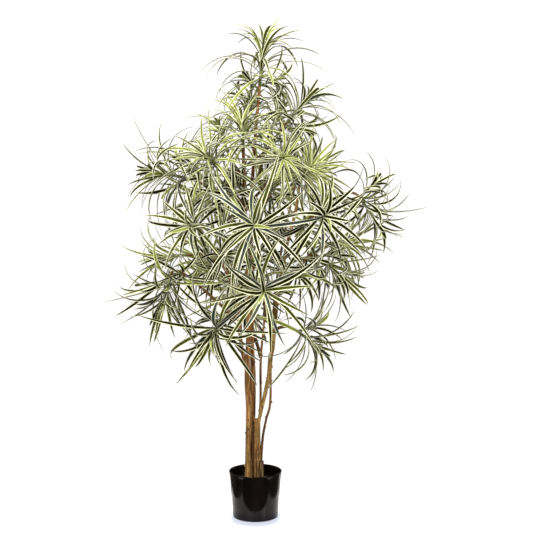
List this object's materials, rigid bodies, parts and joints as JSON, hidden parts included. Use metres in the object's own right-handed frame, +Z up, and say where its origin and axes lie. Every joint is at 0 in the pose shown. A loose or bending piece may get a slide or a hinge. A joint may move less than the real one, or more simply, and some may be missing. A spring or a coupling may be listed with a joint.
{
  "type": "artificial potted song of india tree",
  "caption": "Artificial dracaena tree with slender natural wood stems and star-shaped heads of cream-edged strap leaves, set in a small black pot.",
  "frame": {"origin": "centre of the pot's flat underside, on the floor", "axes": "+Z up along the tree; the front that the picture shows faces -Y; +X is to the viewer's right"},
  "size_m": [0.7518, 0.6754, 1.1996],
  "materials": {
    "pot_plastic": "glossy black",
    "cast_fill": "rough dark cast filler",
    "bark_ochre": "dry ochre bark with dark knots",
    "bark_dark": "dry dark brown bark",
    "bark_red": "dry reddish brown bark",
    "leaf_green": "satin printed leaf, dark green with cream margins"
  },
  "bodies": {
    "root": {"pot": "pot_plastic", "stem_main": "bark_ochre", "stem_back": "bark_dark", "stem_centre": "bark_ochre", "stem_right": "bark_ochre", "stem_slim": "bark_dark", "stem_outer": "bark_red", "stem_left": "bark_red", "stump": "bark_dark", "fill": "cast_fill", "bough_centre_front": "bark_ochre", "bough_low_centre": "bark_dark", "bough_right_front": "bark_ochre", "bough_low_left": "bark_red", "bough_left_low": "bark_red", "bough_low_right": "bark_ochre", "bough_top_right": "bark_dark", "bough_far_left": "bark_ochre", "bough_far_right": "bark_ochre", "bough_left_front": "bark_ochre", "bough_right_low": "bark_ochre", "bough_centre_high": "bark_dark", "bough_upper": "bark_dark", "bough_upper_left": "bark_ochre", "bough_left_back": "bark_dark", "bough_left_low_back": "bark_dark", "bough_back_high": "bark_dark", "bough_back_left": "bark_dark", "bough_back_right": "bark_red", "bough_back_centre": "bark_dark", "bough_back_low": "bark_dark", "leaves_centre_front": "leaf_green", "leaves_low_centre": "leaf_green", "leaves_right_front": "leaf_green", "leaves_low_left": "leaf_green", "leaves_left_low": "leaf_green", "leaves_low_right": "leaf_green", "leaves_top": "leaf_green", "leaves_top_right": "leaf_green", "leaves_far_left": "leaf_green", "leaves_far_right": "leaf_green", "leaves_left_front": "leaf_green", "leaves_right_low": "leaf_green", "leaves_left": "leaf_green", "leaves_trunk_tip": "leaf_green", "leaves_centre_high": "leaf_green", "leaves_right_high": "leaf_green", "leaves_upper": "leaf_green", "leaves_upper_left": "leaf_green", "leaves_left_back": "leaf_green", "leaves_left_low_back": "leaf_green", "leaves_back_high": "leaf_green", "leaves_right_high_back": "leaf_green", "leaves_back_left": "leaf_green", "leaves_back_right": "leaf_green", "leaves_back_centre": "leaf_green", "leaves_back_low": "leaf_green"}
  },
  "joints": []
}
